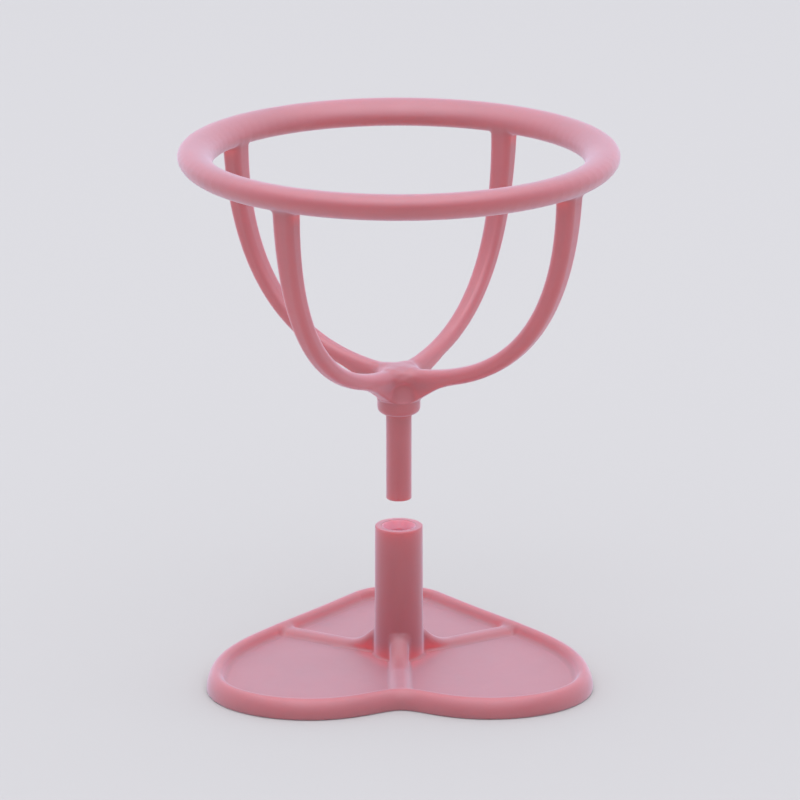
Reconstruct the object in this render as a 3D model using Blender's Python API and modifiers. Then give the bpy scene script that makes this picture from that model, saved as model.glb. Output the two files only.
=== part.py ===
"""Makeup sponge holder: a ringed cradle that plugs into a heart-shaped base.

Metres, +Z up. The base stands on z = 0 and the post's axis is the Z axis.
The heart's notch faces -Y and its tip faces +Y.
The cradle is shown pulled up out of the post, as it comes off for washing.
"""

import math

import bmesh
import bpy
from mathutils import Vector
from mathutils.geometry import interpolate_bezier

# Heart outline of the base, at its foot
HEART_WIDTH = 0.05375
HEART_TIP_REACH = 0.0269
HEART_LOBE_REACH = 0.0230
HEART_NOTCH_REACH = 0.01925
HEART_WIDEST_AHEAD = 0.0102
HEART_LOBE_SPACING = 0.0248
HEART_TIP_WIDTH = 0.0144
HEART_TIP_DROP = 0.00335
HEART_SIDE_SLOPE = math.radians(53.1)

# Handles of the heart's outline, as shares of the spans that they shape
TIP_HANDLE = 0.21
SHOULDER_HANDLE = 0.21
SIDE_HANDLE = 0.50
WIDEST_HANDLE_BACK = 0.33
WIDEST_HANDLE_AHEAD = 0.61
LOBE_HANDLE_OUT = 0.51
LOBE_HANDLE_IN = 0.54
NOTCH_HANDLE = 0.10

# Tray, and the rim that rises from its floor
TRAY_THICKNESS = 0.0012
RIM_RISE = 0.00167
RIM_WIDTH = 0.00235
RIM_DRAFT = 0.00035
RIM_FOOT_RADIUS = 0.00025
RIM_FILLET_RADIUS = 0.00045

# Ribs on the tray, which climb the post as gussets
TRAY_RIB_AZIMUTHS = [math.radians(angle) for angle in (270, 30, 150)]
TRAY_RIB_WIDTH = 0.0026
TRAY_RIB_RISE = 0.00105
TRAY_RIB_ROUNDING = 0.0009
TRAY_GUSSET_RUN = 0.0032
TRAY_GUSSET_RISE = 0.00315

# Pin, collar and hub under the bowl
PIN_RADIUS = 0.00176
PIN_LENGTH = 0.0125
PIN_END_ROUNDING = 0.0002
COLLAR_STEP = 0.00124
COLLAR_HEIGHT = 0.0021
COLLAR_ROUNDING = 0.00095
HUB_RISE = 0.0034
HUB_STEP = 0.00124
HUB_THICKNESS = 0.0015
HUB_ROUNDING = 0.0004
HUB_LIFT = 0.00045
BOWL_GUSSET_RUN = 0.0050
BOWL_GUSSET_THICKNESS = 0.0019
BOWL_GUSSET_ROUNDING = 0.0002
BOWL_GUSSET_SETBACK = 0.0001

# Post and the socket that takes the pin
POST_HEIGHT = 0.02055
POST_WALL = 0.00149
POST_DRAFT = 0.00007
POST_TOP_ROUNDING = 0.00025
POST_FILLET_RADIUS = 0.0004
SOCKET_CLEARANCE = 0.0001
SOCKET_END_CLEARANCE = 0.0010
SOCKET_MOUTH_FLARE = 0.00054
SOCKET_MOUTH_DEPTH = 0.0011

# How far the pin's end stands above the post, as shown
PULL_GAP = 0.00395

# Ring and the bowl's ribs
RING_OUTER_RADIUS = 0.0303
RING_SECTION_WIDTH = 0.0050
RING_SECTION_HEIGHT = 0.0035
RING_SECTION_TILT = math.radians(21)
BOWL_DEPTH = 0.0308
BOWL_RIB_COUNT = 4
BOWL_RIB_FIRST_AZIMUTH = math.radians(56)
BOWL_RIB_WIDTH = 0.00335
BOWL_RIB_DEPTH = 0.0030
BOWL_RIB_CORNER_RADIUS = 0.00095
BOWL_RIB_TAPER = 0.74
BOWL_RIB_FLARE_POWER = 2
BOWL_RIB_INSET = 0.0006
BOWL_RIB_DISH = 0.0006
BOWL_RIB_DROP_SHARE = 0.435
BOWL_RIB_SWEEP_SHARE = 0.845

# Facets
RING_STEPS = 80
RING_SECTION_POINTS = 16
TURNED_STEPS = 32
OUTLINE_STEPS = 10
BOWL_RIB_STEPS = 20
RIM_CROWN_STEPS = 8
COLLAR_STEPS = 4
FILLET_STEPS = 3
ROUNDING_STEPS = 2

# No rounding takes more than this share of the wall that it is on
LARGEST_ROUNDING = 0.45

# Derived heights and radii
RIM_HEIGHT = TRAY_THICKNESS + RIM_RISE
TRAY_RIB_HEIGHT = TRAY_THICKNESS + TRAY_RIB_RISE
SOCKET_RADIUS = PIN_RADIUS + SOCKET_CLEARANCE
SOCKET_DEPTH = PIN_LENGTH + SOCKET_END_CLEARANCE
POST_RADIUS = SOCKET_RADIUS + POST_WALL
COLLAR_RADIUS = PIN_RADIUS + COLLAR_STEP
COLLAR_UNDERSIDE = POST_HEIGHT + PULL_GAP + PIN_LENGTH
HUB_RADIUS = PIN_RADIUS + HUB_STEP
HUB_MIDDLE = COLLAR_HEIGHT + HUB_RISE
RING_MIDDLE = HUB_MIDDLE + BOWL_DEPTH
RING_SECTION_REACH = math.hypot(
    RING_SECTION_WIDTH / 2 * math.cos(RING_SECTION_TILT),
    RING_SECTION_HEIGHT / 2 * math.sin(RING_SECTION_TILT),
)
RING_MIDDLE_RADIUS = RING_OUTER_RADIUS - RING_SECTION_REACH

PINK = (0.67, 0.27, 0.33, 1.0)
ROUGHNESS = 0.35
MERGE_DISTANCE = 1e-6


def clear_scene():
    for item in list(bpy.data.objects):
        bpy.data.objects.remove(item)
    for group in list(bpy.data.collections):
        bpy.data.collections.remove(group)


def new_collection(name):
    group = bpy.data.collections.new(name)
    bpy.context.scene.collection.children.link(group)
    return group


def pink_plastic(name):
    """A soft-gloss pink moulding plastic."""
    material = bpy.data.materials.new(name)
    material.use_nodes = True
    shader = material.node_tree.nodes["Principled BSDF"]
    shader.inputs["Base Color"].default_value = PINK
    shader.inputs["Roughness"].default_value = ROUGHNESS
    shader.inputs["Metallic"].default_value = 0.0
    return material


def add_object(name, data, group):
    item = bpy.data.objects.new(name, data)
    group.objects.link(item)
    return item


def as_tool(item, parent):
    """Hide a shape that only cuts or joins, and let it follow its piece."""
    item.hide_render = True
    item.display_type = "WIRE"
    item.parent = parent


def arc(centre, radius, start, end, steps):
    """Points on an arc in a profile, with its angles in degrees."""
    points = []
    for index in range(steps + 1):
        angle = math.radians(start + (end - start) * index / steps)
        x = centre[0] + radius * math.cos(angle)
        z = centre[1] + radius * math.sin(angle)
        points.append((x, z))
    return points


def turned_mesh(name, profile, closed=False):
    """A profile in the XZ plane, run down its outer side, for a Screw."""
    edges = [(index, index + 1) for index in range(len(profile) - 1)]
    if closed:
        edges.append((len(profile) - 1, 0))
    mesh = bpy.data.meshes.new(name)
    mesh.from_pydata([(x, 0.0, z) for x, z in profile], edges, [])
    return mesh


def turn(item, steps):
    screw = item.modifiers.new("turn", "SCREW")
    screw.axis = "Z"
    screw.angle = math.tau
    screw.steps = steps
    screw.render_steps = steps
    screw.use_smooth_shade = True
    screw.use_merge_vertices = True
    screw.merge_threshold = MERGE_DISTANCE


def combine(item, tool, operation):
    boolean = item.modifiers.new(tool.name, "BOOLEAN")
    boolean.operation = operation
    boolean.solver = "EXACT"
    boolean.object = tool


def meshed(curve_item, group):
    """Replace a curve object by a mesh object of the same form and place."""
    bpy.context.view_layer.update()
    graph = bpy.context.evaluated_depsgraph_get()
    mesh = bpy.data.meshes.new_from_object(curve_item.evaluated_get(graph))
    work = bmesh.new()
    work.from_mesh(mesh)
    bmesh.ops.remove_doubles(work, verts=work.verts, dist=MERGE_DISTANCE)
    bmesh.ops.recalc_face_normals(work, faces=work.faces)
    work.to_mesh(mesh)
    work.free()
    item = add_object(curve_item.name + "_solid", mesh, group)
    item.matrix_world = curve_item.matrix_world.copy()
    bpy.data.objects.remove(curve_item)
    return item


def flat_curve(name, points, group, closed=True):
    """A flat outline of straight runs."""
    curve = bpy.data.curves.new(name, "CURVE")
    curve.dimensions = "2D"
    curve.fill_mode = "NONE"
    spline = curve.splines.new("POLY")
    spline.points.add(len(points) - 1)
    for point, (x, y) in zip(spline.points, points):
        point.co = (x, y, 0.0, 1.0)
    spline.use_cyclic_u = closed
    return add_object(name, curve, group)


def upright_plate(name, outline, thickness, rounding, azimuth, group):
    """A plate with rounded edges, drawn in radius and height, that stands along an azimuth."""
    rounding = min(rounding, thickness * LARGEST_ROUNDING)
    item = flat_curve(name, outline, group)
    item.data.fill_mode = "BOTH"
    item.data.extrude = thickness / 2 - rounding
    item.data.bevel_depth = rounding
    item.data.bevel_resolution = ROUNDING_STEPS
    item.data.offset = -rounding
    item.rotation_euler = (math.pi / 2, 0.0, azimuth)
    return meshed(item, group)


def heart_bezier():
    """The heart's control points with their handles, from the tip down the +X side and back."""
    half_width = HEART_WIDTH / 2
    slope = Vector((math.cos(HEART_SIDE_SLOPE), -math.sin(HEART_SIDE_SLOPE)))
    tip = Vector((0.0, HEART_TIP_REACH))
    side = Vector((HEART_TIP_WIDTH / 2, HEART_TIP_REACH - HEART_TIP_DROP))
    widest = Vector((half_width, -HEART_WIDEST_AHEAD))
    lobe = Vector((HEART_LOBE_SPACING / 2, -HEART_LOBE_REACH))
    notch = Vector((0.0, -HEART_NOTCH_REACH))
    along_x = Vector((1.0, 0.0))
    along_y = Vector((0.0, 1.0))
    lobe_width = widest.x - lobe.x
    lobe_depth = widest.y - lobe.y
    side_length = (side - widest).length
    right = [
        (
            side,
            side - slope * HEART_TIP_WIDTH * SHOULDER_HANDLE,
            side + slope * side_length * SIDE_HANDLE,
        ),
        (
            widest,
            widest + along_y * side_length * WIDEST_HANDLE_BACK,
            widest - along_y * lobe_depth * WIDEST_HANDLE_AHEAD,
        ),
        (
            lobe,
            lobe + along_x * lobe_width * LOBE_HANDLE_OUT,
            lobe - along_x * lobe.x * LOBE_HANDLE_IN,
        ),
    ]
    across = Vector((-1.0, 1.0))
    left = [(point * across, ahead * across, back * across) for point, back, ahead in reversed(right)]
    tip_handle = along_x * HEART_TIP_WIDTH * TIP_HANDLE
    notch_handle = along_x * HEART_LOBE_SPACING * NOTCH_HANDLE
    top = [(tip, tip - tip_handle, tip + tip_handle)]
    bottom = [(notch, notch + notch_handle, notch - notch_handle)]
    return top + right + bottom + left


def heart_reach(azimuth):
    """Distance from the post's axis to the heart's outline along an azimuth."""
    controls = heart_bezier()
    ray = Vector((math.cos(azimuth), math.sin(azimuth)))
    side = Vector((-ray.y, ray.x))
    reach = 0.0
    for index, (start, _, ahead) in enumerate(controls):
        end, back, _ = controls[(index + 1) % len(controls)]
        points = interpolate_bezier(start, ahead, back, end, OUTLINE_STEPS + 1)
        for first, second in zip(points, points[1:]):
            offset_a = first.xy.dot(side)
            offset_b = second.xy.dot(side)
            if offset_a * offset_b > 0.0 or offset_a == offset_b:
                continue
            crossing = first.xy.lerp(second.xy, offset_a / (offset_a - offset_b))
            reach = max(reach, crossing.dot(ray))
    return reach


def rim_section():
    """The rim from the underside over its crown to the tray's floor, with x inwards from the foot."""
    crown_radius = (RIM_WIDTH - RIM_DRAFT) / 2
    crown_height = RIM_HEIGHT - crown_radius
    fillet_radius = min(RIM_FILLET_RADIUS, crown_height - TRAY_THICKNESS)
    fillet = (RIM_WIDTH + fillet_radius, TRAY_THICKNESS + fillet_radius)
    points = arc((RIM_FOOT_RADIUS, RIM_FOOT_RADIUS), RIM_FOOT_RADIUS, 270, 180, ROUNDING_STEPS)
    points += arc((RIM_WIDTH - crown_radius, crown_height), crown_radius, 180, 0, RIM_CROWN_STEPS)
    points += arc(fillet, fillet_radius, 180, 270, FILLET_STEPS)
    return points


def add_tray(group, material):
    """Sweep the rim's section round the heart, then fill the floor and the underside."""
    section = flat_curve("rim_section", rim_section(), group, closed=False)
    curve = bpy.data.curves.new("heart_outline", "CURVE")
    curve.dimensions = "2D"
    curve.fill_mode = "NONE"
    curve.resolution_u = OUTLINE_STEPS
    curve.bevel_mode = "OBJECT"
    curve.bevel_object = section
    controls = heart_bezier()
    spline = curve.splines.new("BEZIER")
    spline.bezier_points.add(len(controls) - 1)
    for point, (place, back, ahead) in zip(spline.bezier_points, controls):
        point.handle_left_type = "FREE"
        point.handle_right_type = "FREE"
        point.co = place.to_3d()
        point.handle_left = back.to_3d()
        point.handle_right = ahead.to_3d()
    spline.use_cyclic_u = True
    tray = meshed(add_object("heart_outline", curve, group), group)
    bpy.data.objects.remove(section)
    work = bmesh.new()
    work.from_mesh(tray.data)
    bmesh.ops.holes_fill(work, edges=work.edges)
    bmesh.ops.recalc_face_normals(work, faces=work.faces)
    work.to_mesh(tray.data)
    work.free()
    tray.name = "base"
    tray.data.materials.clear()
    tray.data.materials.append(material)
    return tray


def post_profile():
    foot_radius = POST_RADIUS + POST_DRAFT
    foot_fillet = (foot_radius + POST_FILLET_RADIUS, TRAY_THICKNESS + POST_FILLET_RADIUS)
    top_edge = (POST_RADIUS - POST_TOP_ROUNDING, POST_HEIGHT - POST_TOP_ROUNDING)
    profile = [(0.0, POST_HEIGHT)]
    profile += arc(top_edge, POST_TOP_ROUNDING, 90, 0, ROUNDING_STEPS)
    profile += arc(foot_fillet, POST_FILLET_RADIUS, 180, 270, FILLET_STEPS)
    profile.append((foot_fillet[0], TRAY_THICKNESS / 2))
    profile.append((0.0, TRAY_THICKNESS / 2))
    return profile


def socket_profile():
    """The bore and its tapered mouth, with the taper carried on above the post."""
    above = SOCKET_MOUTH_DEPTH
    return [
        (0.0, POST_HEIGHT + above),
        (SOCKET_RADIUS + 2 * SOCKET_MOUTH_FLARE, POST_HEIGHT + above),
        (SOCKET_RADIUS, POST_HEIGHT - SOCKET_MOUTH_DEPTH),
        (SOCKET_RADIUS, POST_HEIGHT - SOCKET_DEPTH),
        (0.0, POST_HEIGHT - SOCKET_DEPTH),
    ]


def tray_rib_outline(azimuth):
    """A low rib from the axis to under the rim, rising to the post as a gusset."""
    end = heart_reach(azimuth) - RIM_WIDTH / 2
    buried = TRAY_THICKNESS / 4
    gusset_top = TRAY_RIB_HEIGHT + TRAY_GUSSET_RISE
    return [
        (0.0, buried),
        (end, buried),
        (end, TRAY_RIB_HEIGHT),
        (POST_RADIUS + TRAY_GUSSET_RUN, TRAY_RIB_HEIGHT),
        (POST_RADIUS, gusset_top),
        (0.0, gusset_top),
    ]


def add_base(parts, tools, material):
    base = add_tray(parts, material)
    post = add_object("post", turned_mesh("post", post_profile()), tools)
    turn(post, TURNED_STEPS)
    as_tool(post, base)
    combine(base, post, "UNION")
    for number, azimuth in enumerate(TRAY_RIB_AZIMUTHS, 1):
        outline = tray_rib_outline(azimuth)
        name = f"tray_rib_{number}"
        rib = upright_plate(name, outline, TRAY_RIB_WIDTH, TRAY_RIB_ROUNDING, azimuth, tools)
        as_tool(rib, base)
        combine(base, rib, "UNION")
    socket = add_object("socket", turned_mesh("socket", socket_profile()), tools)
    turn(socket, TURNED_STEPS)
    as_tool(socket, base)
    combine(base, socket, "DIFFERENCE")


def stem_profile():
    """Pin, collar, core and hub in one turned profile, with the collar's underside at z = 0."""
    hub_top = HUB_MIDDLE + HUB_LIFT + HUB_THICKNESS / 2
    hub_bottom = hub_top - HUB_THICKNESS
    hub_edge = HUB_RADIUS - HUB_ROUNDING
    profile = [(0.0, hub_top)]
    profile += arc((hub_edge, hub_top - HUB_ROUNDING), HUB_ROUNDING, 90, 0, ROUNDING_STEPS)
    profile += arc((hub_edge, hub_bottom + HUB_ROUNDING), HUB_ROUNDING, 0, -90, ROUNDING_STEPS)
    profile.append((PIN_RADIUS, hub_bottom))
    profile.append((PIN_RADIUS, COLLAR_HEIGHT))
    profile.append((COLLAR_RADIUS, COLLAR_HEIGHT))
    collar_edge = (COLLAR_RADIUS - COLLAR_ROUNDING, COLLAR_ROUNDING)
    profile += arc(collar_edge, COLLAR_ROUNDING, 0, -90, COLLAR_STEPS)
    profile.append((PIN_RADIUS, 0.0))
    pin_end = (PIN_RADIUS - PIN_END_ROUNDING, PIN_END_ROUNDING - PIN_LENGTH)
    profile += arc(pin_end, PIN_END_ROUNDING, 0, -90, ROUNDING_STEPS)
    profile.append((0.0, -PIN_LENGTH))
    return profile


def ring_profile():
    """A flattened round section whose long axis rises outwards."""
    points = []
    for index in range(RING_SECTION_POINTS):
        angle = -math.tau * index / RING_SECTION_POINTS
        along = RING_SECTION_WIDTH / 2 * math.cos(angle)
        across = RING_SECTION_HEIGHT / 2 * math.sin(angle)
        x = along * math.cos(RING_SECTION_TILT) - across * math.sin(RING_SECTION_TILT)
        z = along * math.sin(RING_SECTION_TILT) + across * math.cos(RING_SECTION_TILT)
        points.append((RING_MIDDLE_RADIUS + x, RING_MIDDLE + z))
    return points


def bowl_rib_section():
    """A rounded rectangle, with x through the rib's depth and y across its width."""
    thinnest = min(BOWL_RIB_WIDTH, BOWL_RIB_DEPTH)
    radius = min(BOWL_RIB_CORNER_RADIUS, thinnest * LARGEST_ROUNDING)
    along = BOWL_RIB_DEPTH / 2 - radius
    across = BOWL_RIB_WIDTH / 2 - radius
    corners = [(along, across), (-along, across), (-along, -across), (along, -across)]
    points = []
    for number, corner in enumerate(corners):
        points += arc(corner, radius, 90 * number, 90 * number + 90, ROUNDING_STEPS)
    return points


def bowl_rib_route():
    """The rib's middle line in radius and height, from inside the ring to inside the hub."""
    top_radius = RING_MIDDLE_RADIUS - BOWL_RIB_INSET
    top = Vector((top_radius, RING_MIDDLE))
    top_handle = Vector((top_radius, RING_MIDDLE - BOWL_DEPTH * BOWL_RIB_DROP_SHARE))
    hub_handle = Vector((top_radius * BOWL_RIB_SWEEP_SHARE, HUB_MIDDLE + BOWL_RIB_DISH))
    hub = Vector((PIN_RADIUS / 2, HUB_MIDDLE))
    return interpolate_bezier(top, top_handle, hub_handle, hub, BOWL_RIB_STEPS + 1)


def add_bowl_rib(name, azimuth, section, group):
    """Sweep the section down from the ring and in to the hub, flaring towards the ring."""
    route = [tuple(point.xy) for point in bowl_rib_route()]
    item = flat_curve(name, route, group, closed=False)
    item.data.bevel_mode = "OBJECT"
    item.data.bevel_object = section
    item.data.use_fill_caps = True
    for index, point in enumerate(item.data.splines[0].points):
        flare = (1 - index / BOWL_RIB_STEPS) ** BOWL_RIB_FLARE_POWER
        point.radius = BOWL_RIB_TAPER + (1 - BOWL_RIB_TAPER) * flare
    item.rotation_euler = (math.pi / 2, 0.0, azimuth)
    return meshed(item, group)


def bowl_gusset_outline():
    """A web from the collar up into the rib, with a sloping outer edge."""
    inner = PIN_RADIUS / 2
    half_thickness = BOWL_GUSSET_THICKNESS / 2
    foot = math.sqrt(COLLAR_RADIUS ** 2 - half_thickness ** 2) - BOWL_GUSSET_SETBACK
    buried = COLLAR_HEIGHT / 2
    return [
        (inner, buried),
        (foot, buried),
        (foot, COLLAR_HEIGHT),
        (COLLAR_RADIUS + BOWL_GUSSET_RUN, HUB_MIDDLE),
        (inner, HUB_MIDDLE),
    ]


def add_cradle(parts, tools, material):
    mesh = turned_mesh("cradle", stem_profile())
    mesh.materials.append(material)
    cradle = add_object("cradle", mesh, parts)
    turn(cradle, TURNED_STEPS)
    ring = add_object("ring", turned_mesh("ring", ring_profile(), closed=True), tools)
    turn(ring, RING_STEPS)
    as_tool(ring, cradle)
    combine(cradle, ring, "UNION")
    section = flat_curve("bowl_rib_section", bowl_rib_section(), tools)
    for number in range(BOWL_RIB_COUNT):
        azimuth = BOWL_RIB_FIRST_AZIMUTH + math.tau * number / BOWL_RIB_COUNT
        rib = add_bowl_rib(f"bowl_rib_{number + 1}", azimuth, section, tools)
        gusset_name = f"bowl_gusset_{number + 1}"
        gusset = upright_plate(
            gusset_name, bowl_gusset_outline(), BOWL_GUSSET_THICKNESS, BOWL_GUSSET_ROUNDING, azimuth, tools
        )
        for tool in (rib, gusset):
            as_tool(tool, cradle)
            combine(cradle, tool, "UNION")
    bpy.data.objects.remove(section)
    cradle.location = (0.0, 0.0, COLLAR_UNDERSIDE)


def main():
    clear_scene()
    parts = new_collection("makeup_sponge_holder")
    tools = new_collection("construction")
    material = pink_plastic("pink_plastic")
    add_base(parts, tools, material)
    add_cradle(parts, tools, material)


main()
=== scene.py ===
"""Makeup sponge holder: the looks of its two pink mouldings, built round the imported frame.

Metres, +Z up, in the frame's own axes. Each moulding is described by a field: the distance to
its surface, negative inside. Fields join with moulded fillets, and the surface where a field is
zero becomes that moulding's mesh.
"""

import math

import bpy
import numpy as np
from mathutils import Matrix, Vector

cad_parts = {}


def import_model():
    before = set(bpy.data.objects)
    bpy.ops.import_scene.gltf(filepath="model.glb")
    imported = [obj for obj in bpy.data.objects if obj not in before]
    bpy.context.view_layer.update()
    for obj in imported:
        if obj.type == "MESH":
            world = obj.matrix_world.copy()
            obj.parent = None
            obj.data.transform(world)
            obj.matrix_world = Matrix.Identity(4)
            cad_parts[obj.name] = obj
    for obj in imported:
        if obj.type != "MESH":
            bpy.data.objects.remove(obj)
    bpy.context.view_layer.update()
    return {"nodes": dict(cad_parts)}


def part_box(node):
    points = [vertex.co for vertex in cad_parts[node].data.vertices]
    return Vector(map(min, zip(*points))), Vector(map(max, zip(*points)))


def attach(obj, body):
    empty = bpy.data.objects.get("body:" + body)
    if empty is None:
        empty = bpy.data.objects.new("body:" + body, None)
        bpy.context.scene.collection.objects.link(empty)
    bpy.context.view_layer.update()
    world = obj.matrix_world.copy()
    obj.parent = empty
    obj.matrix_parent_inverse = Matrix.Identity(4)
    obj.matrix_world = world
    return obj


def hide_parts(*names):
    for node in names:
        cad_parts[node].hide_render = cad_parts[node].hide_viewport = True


# Ring round the bowl
RING_SECTION_WIDTH = 0.0050
RING_SECTION_HEIGHT = 0.0035
RING_SECTION_TILT = math.radians(21)
RING_FACETS = 96
RING_FILLET = 0.0005

# Ribs of the bowl
BOWL_DEPTH = 0.0309
BOWL_RIB_COUNT = 4
BOWL_RIB_FIRST_AZIMUTH = math.radians(56)
BOWL_RIB_WIDTH = 0.00335
BOWL_RIB_DEPTH = 0.0030
BOWL_RIB_RING_CORNER = 0.0009
BOWL_RIB_HUB_CORNER = 0.0015
BOWL_RIB_TAPER = 0.74
BOWL_RIB_INSET = 0.0006
BOWL_RIB_DISH = 0.0006
BOWL_RIB_DROP_SHARE = 0.435
BOWL_RIB_SWEEP_SHARE = 0.845
BOWL_RIB_FILLET = 0.0007
BOWL_RIB_TOP_DROP = 0.0006

# Stem: pin, collar, hub and the webs between them
PIN_RADIUS = 0.00178
PIN_LENGTH = 0.0125
PIN_END_ROUNDING = 0.00012
COLLAR_RADIUS = 0.0030
COLLAR_HEIGHT = 0.0021
COLLAR_ROUNDING = 0.00095
COLLAR_TOP_ROUNDING = 0.00025
HUB_RISE = 0.0034
HUB_RADIUS = 0.0027
HUB_THICKNESS = 0.0014
HUB_ROUNDING = 0.0005
HUB_FILLET = 0.0009
HUB_LIFT = 0.00035
FLANGE_RADIUS = 0.0030
FLANGE_THICKNESS = 0.00045
FLANGE_DROP = 0.0009
FLANGE_ROUNDING = 0.0002
FLANGE_FILLET = 0.0008
SKIRT_RADIUS = 0.0018
SKIRT_RISE = 0.0030
SKIRT_FILLET = 0.0010
BOWL_GUSSET_RUN = 0.0050
BOWL_GUSSET_THICKNESS = 0.0019
BOWL_GUSSET_ROUNDING = 0.0004
STEM_FILLET = 0.0003
VALLEY_FILLET = 0.0017

# Tray with its rim
TRAY_THICKNESS = 0.0014
RIM_HEIGHT = 0.00287
RIM_WIDTH = 0.0030
RIM_CREST = 0.0016
RIM_FOOT = 0.00035
RIM_INNER_ROUNDING = 0.0024
RIM_FILLET = 0.0007
RIM_FOOT_ROUNDING = 0.00025
RIM_FOOT_HEIGHT = 0.00025
OUTLINE_DIVISIONS = 6

# Ribs of the tray
TRAY_RIB_AZIMUTHS = [math.radians(angle) for angle in (270, 30, 150)]
TRAY_RIB_WIDTH = 0.0026
TRAY_RIB_RISE = 0.00085
TRAY_RIB_ROUNDING = 0.0012
TRAY_RIB_FILLET = 0.0006
TRAY_GUSSET_RUN = 0.0032
TRAY_GUSSET_RISE = 0.0030
TRAY_GUSSET_FILLET = 0.0016

# Post and its socket
POST_RADIUS = 0.00335
POST_DRAFT = 0.00007
POST_TOP_ROUNDING = 0.00015
POST_FILLET = 0.0006
SOCKET_RADIUS = 0.00186
SOCKET_DEPTH = 0.0135
SOCKET_MOUTH_FLARE = 0.0005
SOCKET_MOUTH_DEPTH = 0.0012
SOCKET_EDGE_ROUNDING = 0.0001

# Meshing of the fields
CELL = 0.0002
BLOCK_CELLS = 6
SLAB_POINTS = 200_000
PROBE_STEP = 0.00006
LEAST_STEEPNESS = 0.1
LEAST_OVAL_SLOPE = 1.0
GRID_MARGIN = 2 * CELL
FIRST_SETTLING_ROUNDS = 1
LAST_SETTLING_ROUNDS = 2
KEPT_FACES = 0.35

# Search for the nearest point of a rib's route
ROUTE_SAMPLES = 25
ROUTE_ROUNDS = 3
ROUTE_STEADINESS = 5
ROUTE_REACH = 1.5 * BOWL_RIB_WIDTH

# Search for the nearest point of the tray's outline
OUTLINE_MARGIN = 8 * CELL
OUTLINE_BATCH = 4096
OUTLINE_NEIGHBOURS = 3
OUTLINE_FAR = 1.0
CORNER_DIGITS = 7
HEIGHT_TOLERANCE = 1e-6

# Pink plastic
PLASTIC_TONES = ((0.3, (155, 49, 57)), (0.7, (161, 54, 62)))
CLOUD_SCALE = 90.0
CLOUD_DETAIL = 3.0
# Painted glow: a redder colour mixed into narrow hollows stands in for light passing through the thin
# plastic there.
PAINTED_HOLLOW_GLOW = (248, 58, 53)
PAINTED_GLOW_REACH = 0.0032
PAINTED_GLOW_OPENNESS = (0.2, 0.9)
# Painted glow: a paler colour inside the post's socket stands in for light coming through its thin
# wall.
PAINTED_SOCKET_GLOW = (204, 140, 155)
PAINTED_SOCKET_GLOW_TOP = 0.0205
PLASTIC_ROUGHNESS = (0.5, 0.6)
POLISH_SCALE = 400.0
POLISH_DETAIL = 4.0
GRAIN_SCALE = 2500.0
GRAIN_DETAIL = 3.0
GRAIN_STRENGTH = 0.12
GRAIN_DEPTH = 0.00005
PLASTIC_IOR = 2.25
SHEEN_WEIGHT = 0.6
SHEEN_ROUGHNESS = 0.5
SHEEN_TINT = (226, 238, 253)
SCATTER_WEIGHT = 0.8
SCATTER_RADIUS = (1.0, 0.25, 0.2)
SCATTER_SCALE = 0.0060

# Floor
FLOOR_REACH = 20.0
FLOOR_LIGHTING_TONE = (226, 224, 220)
FLOOR_SEEN_TONE = (184, 182, 176)
FLOOR_ROUGHNESS = 0.9
FLOOR_SPECULAR = 0.1

# Light
ROOM_TONE = (238, 240, 255)
ROOM_Y_SPAN = (-1.0, 0.2)
ROOM_STRENGTH = (0.4, 1.3)
SOFTBOX_DIRECTION = (0.0, -0.7, 1.0)
SOFTBOX_CLOSENESS = (0.7, 0.97)
SOFTBOX_STRENGTH = (0.0, 1.7)
LAMP_PLACE = (0.0, 0.15, 1.1)
LAMP_AIM = (0.0, 0.0, 0.04)
LAMP_WIDTH = 1.4
LAMP_DEPTH = 1.0
LAMP_POWER = 4.5
LAMP_COLOUR = (0.9, 0.93, 1.0)

# Camera: distance, aim and angles of the photograph
CAMERA_DISTANCE = 0.63546
CAMERA_PITCH = math.radians(16.6)
CAMERA_AZIMUTH = math.radians(-0.8864)
CAMERA_AIM_HEIGHT = 0.0388
CAMERA_SIDE_STEP = 0.00016
FOCAL_PIXELS = 4574.8764
IMAGE_PIXELS = 800
SENSOR_WIDTH = 36.0


def srgb(red, green, blue):
    """A colour given in 0 to 255 steps, as a linear colour with alpha."""
    linear = []
    for share in (red / 255, green / 255, blue / 255):
        linear.append(share / 12.92 if share <= 0.04045 else ((share + 0.055) / 1.055) ** 2.4)
    return (*linear, 1.0)


# Fields

def joined(first, second, fillet):
    """Union of two fields, with a fillet where they meet."""
    closeness = np.maximum(fillet - np.abs(first - second), 0.0) / fillet
    return np.minimum(first, second) - closeness ** 2 * fillet / 4


def trimmed(first, second, rounding):
    """What two fields have in common, with a rounded edge where they meet."""
    return -joined(-first, -second, rounding)


def rounded_block(across, along, half_across, half_along, rounding):
    """A rounded rectangle, in any two directions."""
    over_across = np.abs(across) - half_across + rounding
    over_along = np.abs(along) - half_along + rounding
    outside = np.hypot(np.maximum(over_across, 0.0), np.maximum(over_along, 0.0))
    return outside + np.minimum(np.maximum(over_across, over_along), 0.0) - rounding


def turned_block(points, radius, low, high, rounding):
    """A round boss about the Z axis, between two heights."""
    middle, half_height = (low + high) / 2, (high - low) / 2
    radial = np.hypot(points[:, 0], points[:, 1])
    return rounded_block(radial, points[:, 2] - middle, radius, half_height, rounding)


def oval(across, up, half_across, half_up):
    """An ellipse, in any two directions."""
    share = np.hypot(across / half_across, up / half_up)
    slope = np.hypot(across / half_across ** 2, up / half_up ** 2)
    return share * (share - 1) / np.maximum(slope, LEAST_OVAL_SLOPE)


def beyond_line(along, height, start, end):
    """Distance to the right of the line that runs from start to end in a profile."""
    run, rise = end[0] - start[0], end[1] - start[1]
    return ((along - start[0]) * rise - (height - start[1]) * run) / math.hypot(run, rise)


def in_plate(points, azimuth):
    """Radius along an azimuth and offset across it."""
    along = points[:, 0] * math.cos(azimuth) + points[:, 1] * math.sin(azimuth)
    across = points[:, 1] * math.cos(azimuth) - points[:, 0] * math.sin(azimuth)
    return along, across


# Surface of a field

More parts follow.
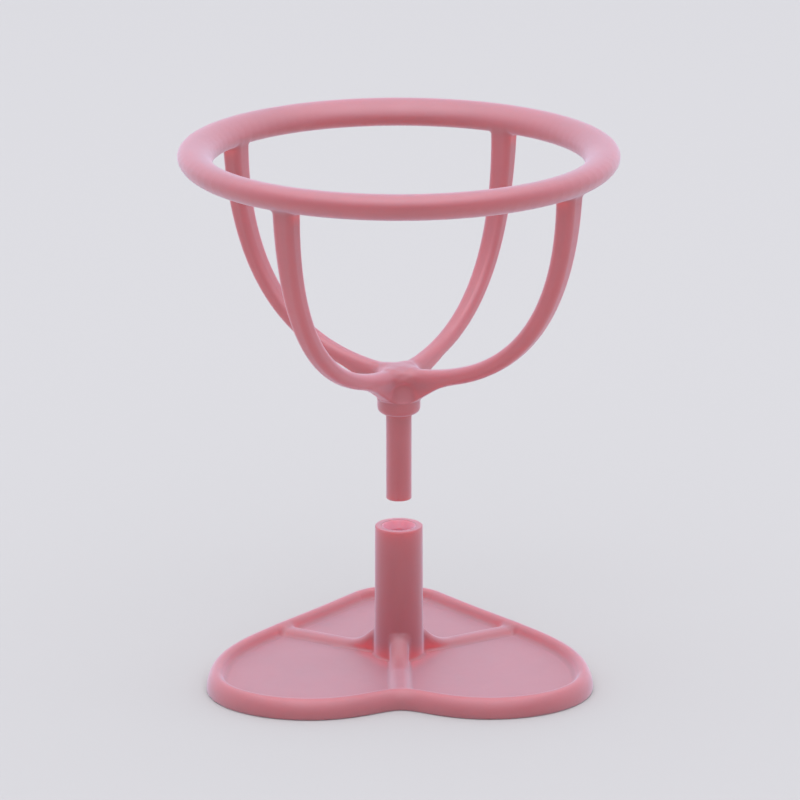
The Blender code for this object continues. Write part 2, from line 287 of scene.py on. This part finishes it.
def sampled(field, points):
    """The field at the points, one slab of them at a time."""
    values = np.empty(len(points))
    for start in range(0, len(points), SLAB_POINTS):
        values[start:start + SLAB_POINTS] = field(points[start:start + SLAB_POINTS])
    return values


def cell_grid(shape):
    """Every index triple of a grid."""
    axes = [np.arange(count) for count in shape]
    return np.stack(np.meshgrid(*axes, indexing="ij"), -1).reshape(-1, 3)


def grid_values(field, low, high):
    """The field on a grid of cells, worked out only in the blocks near its surface."""
    side = BLOCK_CELLS * CELL
    blocks = np.ceil((high - low) / side).astype(int)
    corners = cell_grid(blocks) * BLOCK_CELLS
    middles = sampled(field, low + (corners + BLOCK_CELLS / 2) * CELL)
    shape = tuple(blocks * BLOCK_CELLS + 1)
    values = np.full(shape, side)
    inner = cell_grid((BLOCK_CELLS + 1,) * 3)
    for chosen, near in ((middles <= -side, False), (np.abs(middles) < side, True)):
        cells = (corners[chosen][:, None, :] + inner[None]).reshape(-1, 3)
        keys = np.unique(np.ravel_multi_index(cells.T, shape))
        places = np.stack(np.unravel_index(keys, shape), -1)
        values.flat[keys] = sampled(field, low + places * CELL) if near else -side
    return values


def crossed_cells(values):
    """A point in each cell that the surface passes through, and the faces between those points."""
    keys, points, faces = [], [], []
    for axis in range(3):
        lined_up = np.moveaxis(values, axis, 0)
        first, second = (np.moveaxis(half, 0, axis) for half in (lined_up[:-1], lined_up[1:]))
        edges = np.argwhere((first < 0) != (second < 0))
        before, after = first[tuple(edges.T)], second[tuple(edges.T)]
        crossing = edges.astype(float)
        crossing[:, axis] += before / (before - after)
        round_edge = []
        for step_u, step_v in ((0, 0), (-1, 0), (-1, -1), (0, -1)):
            cell = edges.copy()
            cell[:, (axis + 1) % 3] += step_u
            cell[:, (axis + 2) % 3] += step_v
            round_edge.append(np.ravel_multi_index(cell.T, values.shape))
        face = np.stack(round_edge, 1)
        face[before >= 0] = face[before >= 0][:, ::-1]
        keys.append(np.concatenate(round_edge))
        points.append(np.tile(crossing, (4, 1)))
        faces.append(face)
    faces = np.concatenate(faces)
    cells, index = np.unique(np.concatenate(keys), return_inverse=True)
    points = np.concatenate(points)
    counts = np.bincount(index)
    middles = np.stack([np.bincount(index, points[:, axis]) / counts for axis in range(3)], 1)
    return middles, np.searchsorted(cells, faces)


def field_slope(field, points):
    """The field's gradient, which points out of the surface."""
    rises = []
    for axis in range(3):
        step = np.zeros(3)
        step[axis] = PROBE_STEP
        rises.append(sampled(field, points + step) - sampled(field, points - step))
    return np.stack(rises, 1) / (2 * PROBE_STEP)


def settled(field, points, rounds):
    """The points moved along the field's slope until they lie on its surface."""
    for _ in range(rounds):
        slope = field_slope(field, points)
        steepness = np.maximum((slope ** 2).sum(1), LEAST_STEEPNESS)
        step = np.clip(sampled(field, points) / steepness, -CELL, CELL)
        points = points - slope * step[:, None]
    return points


def thinned(mesh):
    """The mesh with fewer faces where it is nearly flat."""
    item = bpy.data.objects.new("thinned", mesh)
    bpy.context.scene.collection.objects.link(item)
    decimate = item.modifiers.new("thin", "DECIMATE")
    decimate.ratio = KEPT_FACES
    bpy.context.view_layer.update()
    graph = bpy.context.evaluated_depsgraph_get()
    thin = bpy.data.meshes.new_from_object(item.evaluated_get(graph))
    bpy.data.objects.remove(item)
    return thin


def moulding(name, field, low, high):
    """A mesh object of the field's surface, with the field's own normals."""
    low = np.array(low) - GRID_MARGIN
    high = np.array(high) + GRID_MARGIN
    middles, faces = crossed_cells(grid_values(field, low, high))
    points = settled(field, low + middles * CELL, FIRST_SETTLING_ROUNDS)
    mesh = bpy.data.meshes.new(name + "_cells")
    mesh.from_pydata(points.tolist(), [], faces.tolist())
    mesh = thinned(mesh)
    points = np.empty(len(mesh.vertices) * 3)
    mesh.vertices.foreach_get("co", points)
    points = settled(field, points.reshape(-1, 3), LAST_SETTLING_ROUNDS)
    points[:, 2] = np.maximum(points[:, 2], low[2] + GRID_MARGIN)
    mesh.vertices.foreach_set("co", points.ravel())
    mesh.update()
    mesh.shade_smooth()
    slope = field_slope(field, points)
    normals = slope / np.linalg.norm(slope, axis=1)[:, None]
    mesh.normals_split_custom_set_from_vertices(normals.tolist())
    mesh.name = name
    item = bpy.data.objects.new(name, mesh)
    bpy.context.scene.collection.objects.link(item)
    return item


# Cradle

class Cradle:
    """The ring, the ribs, the hub, the webs, the collar and the pin, as one moulding."""

    def __init__(self):
        self.low, self.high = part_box("cradle")
        reach = math.hypot(
            RING_SECTION_WIDTH / 2 * math.cos(RING_SECTION_TILT),
            RING_SECTION_HEIGHT / 2 * math.sin(RING_SECTION_TILT),
        )
        self.ring_radius = (self.high.x - self.low.x) / 2 - reach
        self.collar_underside = self.low.z + PIN_LENGTH
        self.collar_top = self.collar_underside + COLLAR_HEIGHT
        self.hub_middle = self.collar_top + HUB_RISE
        self.ring_middle = self.hub_middle + BOWL_DEPTH
        self.gusset_end = (COLLAR_RADIUS + BOWL_GUSSET_RUN, self.hub_middle)
        top_radius = self.ring_radius - BOWL_RIB_INSET
        self.route = np.array([
            (top_radius, self.ring_middle),
            (top_radius, self.ring_middle - BOWL_DEPTH * BOWL_RIB_DROP_SHARE),
            (top_radius * BOWL_RIB_SWEEP_SHARE, self.hub_middle + BOWL_RIB_DISH),
            (PIN_RADIUS / 2, self.hub_middle),
        ])

    def ring(self, points):
        """A flattened round section whose long axis rises outwards, on the solid's own facets."""
        azimuth = np.arctan2(points[:, 1], points[:, 0])
        sector = math.tau / RING_FACETS
        radial = np.hypot(points[:, 0], points[:, 1]) * np.cos(azimuth % sector - sector / 2)
        out, up = radial - self.ring_radius, points[:, 2] - self.ring_middle
        along = out * math.cos(RING_SECTION_TILT) + up * math.sin(RING_SECTION_TILT)
        across = up * math.cos(RING_SECTION_TILT) - out * math.sin(RING_SECTION_TILT)
        return oval(along, across, RING_SECTION_WIDTH / 2, RING_SECTION_HEIGHT / 2)

    def route_at(self, share):
        """Place, speed and bend of the rib's middle line, from the ring to the hub."""
        start, early, late, end = self.route
        share = share[:, None]
        rest = 1 - share
        place = (
            start * rest ** 3
            + 3 * early * rest ** 2 * share
            + 3 * late * rest * share ** 2
            + end * share ** 3
        )
        speed = 3 * (
            (early - start) * rest ** 2
            + 2 * (late - early) * rest * share
            + (end - late) * share ** 2
        )
        bend = 6 * ((late - 2 * early + start) * rest + (end - 2 * late + early) * share)
        return place, speed, bend

    def rib(self, points, azimuth):
        """A rounded bar that follows the route and tapers towards the hub."""
        along, across = in_plate(points, azimuth)
        values = np.full(len(points), BOWL_RIB_WIDTH)
        close = (np.abs(across) < ROUTE_REACH) & (along > -BOWL_RIB_WIDTH)
        spots = np.stack([along, points[:, 2]], 1)[close]
        if not len(spots):
            return values
        samples = np.linspace(0, 1, ROUTE_SAMPLES)
        gaps = ((spots[:, None, :] - self.route_at(samples)[0]) ** 2).sum(2)
        share = samples[gaps.argmin(1)]
        for _ in range(ROUTE_ROUNDS):
            place, speed, bend = self.route_at(share)
            offset = place - spots
            pace = (speed ** 2).sum(1)
            pull = np.maximum(pace + (offset * bend).sum(1), pace / ROUTE_STEADINESS)
            share = np.clip(share - (offset * speed).sum(1) / pull, 0, 1)
        offset = np.linalg.norm(self.route_at(share)[0] - spots, axis=1)
        taper = BOWL_RIB_TAPER + (1 - BOWL_RIB_TAPER) * (1 - share) ** 2
        corner = BOWL_RIB_RING_CORNER + (BOWL_RIB_HUB_CORNER - BOWL_RIB_RING_CORNER) * share
        bar = rounded_block(
            offset,
            across[close],
            BOWL_RIB_DEPTH / 2 * taper,
            BOWL_RIB_WIDTH / 2 * taper,
            corner * taper,
        )
        values[close] = np.maximum(bar, spots[:, 1] - self.ring_middle + BOWL_RIB_TOP_DROP)
        return values

    def gusset(self, points, azimuth):
        """A web from the collar up into a rib, with a sloping outer edge."""
        along, across = in_plate(points, azimuth)
        height = points[:, 2]
        start = (math.sqrt(COLLAR_RADIUS ** 2 - (BOWL_GUSSET_THICKNESS / 2) ** 2), self.collar_top)
        slope = beyond_line(along, height, start, self.gusset_end)
        lowest = self.collar_underside + COLLAR_HEIGHT / 2
        ends = np.maximum(height - self.hub_middle, lowest - height)
        profile = np.maximum(np.maximum(slope, ends), -along)
        return trimmed(profile, np.abs(across) - BOWL_GUSSET_THICKNESS / 2, BOWL_GUSSET_ROUNDING)

    def round_hub(self, form, points, fillet):
        """One copy of a form for each rib, joined."""
        copies = form(points, BOWL_RIB_FIRST_AZIMUTH)
        for number in range(1, BOWL_RIB_COUNT):
            azimuth = BOWL_RIB_FIRST_AZIMUTH + math.tau * number / BOWL_RIB_COUNT
            copies = joined(copies, form(points, azimuth), fillet)
        return copies

    def stem(self, points):
        """Pin and collar."""
        pin = turned_block(points, PIN_RADIUS, self.low.z, self.collar_top, PIN_END_ROUNDING)
        raised = self.collar_top + COLLAR_HEIGHT
        collar = turned_block(points, COLLAR_RADIUS, self.collar_underside, raised, COLLAR_ROUNDING)
        collar = trimmed(collar, points[:, 2] - self.collar_top, COLLAR_TOP_ROUNDING)
        return joined(pin, collar, COLLAR_TOP_ROUNDING)

    def webs(self, points):
        """The four gussets, with the smooth hollows between them that run out onto the collar."""
        radial, height = np.hypot(points[:, 0], points[:, 1]), points[:, 2]
        start = (COLLAR_RADIUS, self.collar_top)
        end = (SKIRT_RADIUS, self.collar_top + SKIRT_RISE)
        lowest = self.collar_top - COLLAR_HEIGHT / 2
        skirt = np.maximum(beyond_line(radial, height, start, end), lowest - height)
        skirt = np.maximum(skirt, height - end[1])
        webs = self.round_hub(self.gusset, points, VALLEY_FILLET)
        spread = beyond_line(radial, height, start, self.gusset_end)
        foot = self.collar_top - COLLAR_TOP_ROUNDING
        return np.maximum(joined(webs, skirt, SKIRT_FILLET), np.maximum(spread, foot - height))

    def hub(self, points):
        """The disc where the ribs meet, with a thin flange round its foot."""
        top = self.hub_middle + HUB_LIFT + HUB_THICKNESS / 2
        disc = turned_block(points, HUB_RADIUS, top - HUB_THICKNESS, top, HUB_ROUNDING)
        flange_top = top - FLANGE_DROP
        flange_foot = flange_top - FLANGE_THICKNESS
        flange = turned_block(points, FLANGE_RADIUS, flange_foot, flange_top, FLANGE_ROUNDING)
        return joined(disc, flange, FLANGE_FILLET)

    def field(self, points):
        ribs = self.round_hub(self.rib, points, BOWL_RIB_FILLET)
        hub = joined(self.hub(points), self.webs(points), HUB_FILLET)
        bowl = joined(joined(self.ring(points), ribs, RING_FILLET), hub, HUB_FILLET)
        return joined(bowl, self.stem(points), STEM_FILLET)


# Base

def smooth_outline(corners, divisions):
    """A closed curve through the corners, as a finer list of points."""
    before, after, beyond = (np.roll(corners, step, 0) for step in (1, -1, -2))
    finer = []
    for step in range(divisions):
        share = step / divisions
        finer.append(
            0.5 * (
                2 * corners
                + (after - before) * share
                + (2 * before - 5 * corners + 4 * after - beyond) * share ** 2
                + (3 * corners - before - 3 * after + beyond) * share ** 3
            )
        )
    return np.stack(finer, 1).reshape(-1, 2)


class Base:
    """The heart-shaped tray, its ribs and the post with its socket, as one moulding."""

    def __init__(self, node):
        self.low, self.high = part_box("base")
        corners = np.array([vertex.co for vertex in node.data.vertices])
        foot = corners[np.abs(corners[:, 2] - RIM_FOOT_HEIGHT) < HEIGHT_TOLERANCE][:, :2]
        foot = np.unique(foot.round(CORNER_DIGITS), axis=0)
        foot = foot[np.argsort(np.arctan2(foot[:, 1], foot[:, 0]))]
        self.outline = smooth_outline(foot, OUTLINE_DIVISIONS)
        self.ahead = np.roll(self.outline, -1, 0) - self.outline
        self.table_low = np.array(self.low[:2]) - OUTLINE_MARGIN
        self.table = self.outline_table()

    def outline_table(self):
        """For each small square of the floor, the nearest point of the outline."""
        table_high = np.array(self.high[:2]) + OUTLINE_MARGIN
        counts = np.ceil((table_high - self.table_low) / CELL).astype(int)
        squares = cell_grid((*counts, 1))[:, :2]
        nearest = np.empty(len(squares), int)
        for start in range(0, len(squares), OUTLINE_BATCH):
            batch = slice(start, start + OUTLINE_BATCH)
            spots = self.table_low + (squares[batch] + 0.5) * CELL
            nearest[batch] = ((spots[:, None] - self.outline) ** 2).sum(2).argmin(1)
        return nearest.reshape(counts)

    def inset(self, points):
        """Distance inside the outline, negative beyond it."""
        squares = ((points[:, :2] - self.table_low) / CELL).astype(int)
        squares = np.clip(squares, 0, np.array(self.table.shape) - 1)
        nearest = self.table[tuple(squares.T)]
        best = np.full(len(points), OUTLINE_FAR)
        side = np.ones(len(points))
        for step in range(-OUTLINE_NEIGHBOURS, OUTLINE_NEIGHBOURS):
            index = (nearest + step) % len(self.outline)
            offset = points[:, :2] - self.outline[index]
            ahead = self.ahead[index]
            share = np.clip((offset * ahead).sum(1) / (ahead ** 2).sum(1), 0, 1)
            distance = np.linalg.norm(offset - ahead * share[:, None], axis=1)
            turn = ahead[:, 0] * offset[:, 1] - ahead[:, 1] * offset[:, 0]
            closer = distance < best
            best = np.where(closer, distance, best)
            side = np.where(closer, np.sign(turn), side)
        return best * side

    def rim(self, inset, height):
        """The rim's rounded bead, cut off at its inner side with a rounded edge."""
        up = np.maximum(height - RIM_FOOT, 0.0)
        bead = oval(inset - RIM_CREST, up, RIM_CREST, RIM_HEIGHT - RIM_FOOT)
        return trimmed(bead, inset - RIM_WIDTH, RIM_INNER_ROUNDING)

    def rib(self, points, inset, azimuth):
        """A low rib that climbs the post as a gusset."""
        along, across = in_plate(points, azimuth)
        height = points[:, 2]
        crest = TRAY_THICKNESS + TRAY_RIB_RISE
        gusset_top = crest + TRAY_GUSSET_RISE
        slope_end = (POST_RADIUS + TRAY_GUSSET_RUN, crest)
        slope = -beyond_line(along, height, (POST_RADIUS, gusset_top), slope_end)
        top = joined(height - crest, np.maximum(slope, height - gusset_top), TRAY_GUSSET_FILLET)
        profile = np.maximum(np.maximum(top, RIM_WIDTH / 2 - inset), -along)
        return trimmed(profile, np.abs(across) - TRAY_RIB_WIDTH / 2, TRAY_RIB_ROUNDING)

    def post(self, points):
        """The slightly tapered post."""
        radial = np.hypot(points[:, 0], points[:, 1])
        draft = POST_DRAFT * (1 - points[:, 2] / self.high.z)
        over_top = points[:, 2] - self.high.z
        return trimmed(radial - POST_RADIUS - draft, over_top, POST_TOP_ROUNDING)

    def socket(self, points):
        """The bore and its tapered mouth."""
        radial = np.hypot(points[:, 0], points[:, 1])
        depth = self.high.z - points[:, 2]
        bore = np.maximum(radial - SOCKET_RADIUS, depth - SOCKET_DEPTH)
        widening = SOCKET_MOUTH_FLARE * (1 - depth / SOCKET_MOUTH_DEPTH)
        lean = math.hypot(1.0, SOCKET_MOUTH_FLARE / SOCKET_MOUTH_DEPTH)
        flank = (radial - SOCKET_RADIUS - widening) / lean
        mouth = np.maximum(flank, depth - SOCKET_MOUTH_DEPTH)
        return np.minimum(bore, mouth)

    def field(self, points):
        inset, height = self.inset(points), points[:, 2]
        ribs = [self.rib(points, inset, azimuth) for azimuth in TRAY_RIB_AZIMUTHS]
        floor = np.maximum(height - TRAY_THICKNESS, RIM_CREST - inset)
        ribbed_floor = joined(np.minimum.reduce(ribs), floor, TRAY_RIB_FILLET)
        tray = joined(self.rim(inset, height), ribbed_floor, RIM_FILLET)
        tray = joined(tray, self.post(points), POST_FILLET)
        solid = trimmed(tray, -height, RIM_FOOT_ROUNDING)
        return trimmed(solid, -self.socket(points), SOCKET_EDGE_ROUNDING)


# Shader nodes

def feed(links, socket, value):
    """Links another node's output to a socket, or sets a plain value there."""
    if isinstance(value, bpy.types.NodeSocket):
        links.new(value, socket)
    else:
        socket.default_value = value


def calculated(tree, operation, first, second):
    """The result of a calculation with two values."""
    node = tree.nodes.new("ShaderNodeMath")
    node.operation = operation
    feed(tree.links, node.inputs[0], first)
    feed(tree.links, node.inputs[1], second)
    return node.outputs[0]


def mapped(tree, value, span, results, easing="LINEAR"):
    """A value moved from one span to another, and held at its ends."""
    node = tree.nodes.new("ShaderNodeMapRange")
    node.interpolation_type = easing
    node.inputs["From Min"].default_value, node.inputs["From Max"].default_value = span
    node.inputs["To Min"].default_value, node.inputs["To Max"].default_value = results
    tree.links.new(value, node.inputs["Value"])
    return node.outputs["Result"]


def mixed(tree, share, first, second):
    """The first colour where the share is zero, and the second where it is one."""
    node = tree.nodes.new("ShaderNodeMix")
    node.data_type = "RGBA"
    tree.links.new(share, node.inputs["Factor"])
    feed(tree.links, node.inputs["A"], first)
    feed(tree.links, node.inputs["B"], second)
    return node.outputs["Result"]


def noise(tree, place, scale, detail):
    node = tree.nodes.new("ShaderNodeTexNoise")
    node.inputs["Scale"].default_value = scale
    node.inputs["Detail"].default_value = detail
    tree.links.new(place, node.inputs["Vector"])
    return node.outputs["Fac"]


# Materials

def painted_socket_glow_mask(tree, place):
    """One inside the post's socket, where a paler colour is painted in for the light that comes
    through the thin wall, and zero elsewhere.
    """
    axes = tree.nodes.new("ShaderNodeSeparateXYZ")
    tree.links.new(place, axes.inputs["Vector"])
    flat = tree.nodes.new("ShaderNodeVectorMath")
    flat.operation = "MULTIPLY"
    flat.inputs[1].default_value = (1.0, 1.0, 0.0)
    tree.links.new(place, flat.inputs[0])
    radius = tree.nodes.new("ShaderNodeVectorMath")
    radius.operation = "LENGTH"
    tree.links.new(flat.outputs["Vector"], radius.inputs[0])
    mouth_radius = SOCKET_RADIUS + SOCKET_MOUTH_FLARE
    within = calculated(tree, "LESS_THAN", radius.outputs["Value"], mouth_radius)
    below = calculated(tree, "LESS_THAN", axes.outputs["Z"], PAINTED_SOCKET_GLOW_TOP)
    return calculated(tree, "MULTIPLY", within, below)


def plastic_tone_and_painted_glow(tree, place):
    """Slightly cloudy pink, with painted glow: redder in narrow hollows and paler in the post's
    socket, standing in for light that passes through the plastic.
    """
    clouds = tree.nodes.new("ShaderNodeValToRGB")
    for element, (position, tone) in zip(clouds.color_ramp.elements, PLASTIC_TONES):
        element.position = position
        element.color = srgb(*tone)
    tree.links.new(noise(tree, place, CLOUD_SCALE, CLOUD_DETAIL), clouds.inputs["Fac"])
    # Painted glow: where ambient occlusion finds a narrow hollow, the redder glow colour is mixed
    # into the base colour.
    hollows = tree.nodes.new("ShaderNodeAmbientOcclusion")
    hollows.only_local = True
    hollows.inputs["Distance"].default_value = PAINTED_GLOW_REACH
    painted_glow_share = mapped(tree, hollows.outputs["AO"], PAINTED_GLOW_OPENNESS, (0.0, 1.0))
    tone = mixed(tree, painted_glow_share, srgb(*PAINTED_HOLLOW_GLOW), clouds.outputs["Color"])
    # Painted glow: the paler socket colour replaces the base colour inside the socket.
    return mixed(tree, painted_socket_glow_mask(tree, place), tone, srgb(*PAINTED_SOCKET_GLOW))


def pink_plastic():
    """Satin plastic with a fine mould grain, which light enters a few millimetres deep, and a base
    colour with painted glow in its hollows and socket.
    """
    material = bpy.data.materials.new("pink_plastic")
    material.use_nodes = True
    tree = material.node_tree
    place = tree.nodes.new("ShaderNodeTexCoord").outputs["Object"]
    polish = noise(tree, place, POLISH_SCALE, POLISH_DETAIL)
    bump = tree.nodes.new("ShaderNodeBump")
    bump.inputs["Strength"].default_value = GRAIN_STRENGTH
    bump.inputs["Distance"].default_value = GRAIN_DEPTH
    tree.links.new(noise(tree, place, GRAIN_SCALE, GRAIN_DETAIL), bump.inputs["Height"])
    shader = tree.nodes["Principled BSDF"]
    looks = {
        "Base Color": plastic_tone_and_painted_glow(tree, place),
        "Roughness": mapped(tree, polish, (0.0, 1.0), PLASTIC_ROUGHNESS),
        "Normal": bump.outputs["Normal"],
        "IOR": PLASTIC_IOR,
        "Sheen Weight": SHEEN_WEIGHT,
        "Sheen Roughness": SHEEN_ROUGHNESS,
        "Sheen Tint": srgb(*SHEEN_TINT),
        "Subsurface Weight": SCATTER_WEIGHT,
        "Subsurface Radius": SCATTER_RADIUS,
        "Subsurface Scale": SCATTER_SCALE,
    }
    for name, value in looks.items():
        feed(tree.links, shader.inputs[name], value)
    return material


def floor_paint():
    """The pale floor, seen a little darker than it lights the object."""
    material = bpy.data.materials.new("floor_paint")
    material.use_nodes = True
    tree = material.node_tree
    rays = tree.nodes.new("ShaderNodeLightPath").outputs
    seen = calculated(tree, "MAXIMUM", rays["Is Camera Ray"], rays["Is Glossy Ray"])
    seen = calculated(tree, "MAXIMUM", seen, rays["Is Transmission Ray"])
    tone = mixed(tree, seen, srgb(*FLOOR_LIGHTING_TONE), srgb(*FLOOR_SEEN_TONE))
    shader = tree.nodes["Principled BSDF"]
    tree.links.new(tone, shader.inputs["Base Color"])
    shader.inputs["Roughness"].default_value = FLOOR_ROUGHNESS
    shader.inputs["Specular IOR Level"].default_value = FLOOR_SPECULAR
    return material


# Stage

def add_floor():
    mesh = bpy.data.meshes.new("floor")
    sides = ((-1, -1), (1, -1), (1, 1), (-1, 1))
    corners = [(x * FLOOR_REACH, y * FLOOR_REACH, 0.0) for x, y in sides]
    mesh.from_pydata(corners, [], [(0, 1, 2, 3)])
    mesh.materials.append(floor_paint())
    floor = bpy.data.objects.new("floor", mesh)
    bpy.context.scene.collection.objects.link(floor)


def add_room():
    """A bright room that is darkest behind the camera, with a soft light above the object's front."""
    world = bpy.data.worlds.new("studio")
    bpy.context.scene.world = world
    world.use_nodes = True
    tree = world.node_tree
    direction = tree.nodes.new("ShaderNodeTexCoord").outputs["Generated"]
    axes = tree.nodes.new("ShaderNodeSeparateXYZ")
    tree.links.new(direction, axes.inputs["Vector"])
    facing = tree.nodes.new("ShaderNodeVectorMath")
    facing.operation = "DOT_PRODUCT"
    facing.inputs[1].default_value = Vector(SOFTBOX_DIRECTION).normalized()
    tree.links.new(direction, facing.inputs[0])
    room = mapped(tree, axes.outputs["Y"], ROOM_Y_SPAN, ROOM_STRENGTH, "SMOOTHSTEP")
    softbox = mapped(tree, facing.outputs["Value"], SOFTBOX_CLOSENESS, SOFTBOX_STRENGTH, "SMOOTHSTEP")
    sky = tree.nodes["Background"]
    sky.inputs["Color"].default_value = srgb(*ROOM_TONE)
    tree.links.new(calculated(tree, "ADD", room, softbox), sky.inputs["Strength"])


def add_lamp():
    """One large soft lamp overhead."""
    data = bpy.data.lights.new("lamp_overhead", "AREA")
    data.shape = "RECTANGLE"
    data.size = LAMP_WIDTH
    data.size_y = LAMP_DEPTH
    data.energy = LAMP_POWER
    data.color = LAMP_COLOUR
    lamp = bpy.data.objects.new("lamp_overhead", data)
    lamp.location = LAMP_PLACE
    aim = Vector(LAMP_AIM) - Vector(LAMP_PLACE)
    lamp.rotation_euler = aim.to_track_quat("-Z", "Y").to_euler()
    bpy.context.scene.collection.objects.link(lamp)


def add_camera():
    data = bpy.data.cameras.new("camera")
    data.sensor_width = SENSOR_WIDTH
    data.lens = FOCAL_PIXELS / IMAGE_PIXELS * SENSOR_WIDTH
    camera = bpy.data.objects.new("camera", data)
    back = CAMERA_DISTANCE * math.cos(CAMERA_PITCH)
    side, turn = CAMERA_SIDE_STEP, CAMERA_AZIMUTH
    camera.location = (
        side * math.cos(turn) + back * math.sin(turn),
        side * math.sin(turn) - back * math.cos(turn),
        CAMERA_AIM_HEIGHT + CAMERA_DISTANCE * math.sin(CAMERA_PITCH),
    )
    camera.rotation_euler = (math.pi / 2 - CAMERA_PITCH, 0.0, turn)
    bpy.context.scene.collection.objects.link(camera)
    bpy.context.scene.camera = camera


def main():
    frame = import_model()
    plastic = pink_plastic()
    cradle = Cradle()
    base = Base(frame["nodes"]["base"])
    for name, form in (("cradle", cradle), ("base", base)):
        item = moulding(name + "_moulding", form.field, form.low, form.high)
        item.data.materials.append(plastic)
        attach(item, name)
        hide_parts(name)
    add_floor()
    add_room()
    add_lamp()
    add_camera()
    bpy.context.scene.view_settings.view_transform = "Standard"


main()
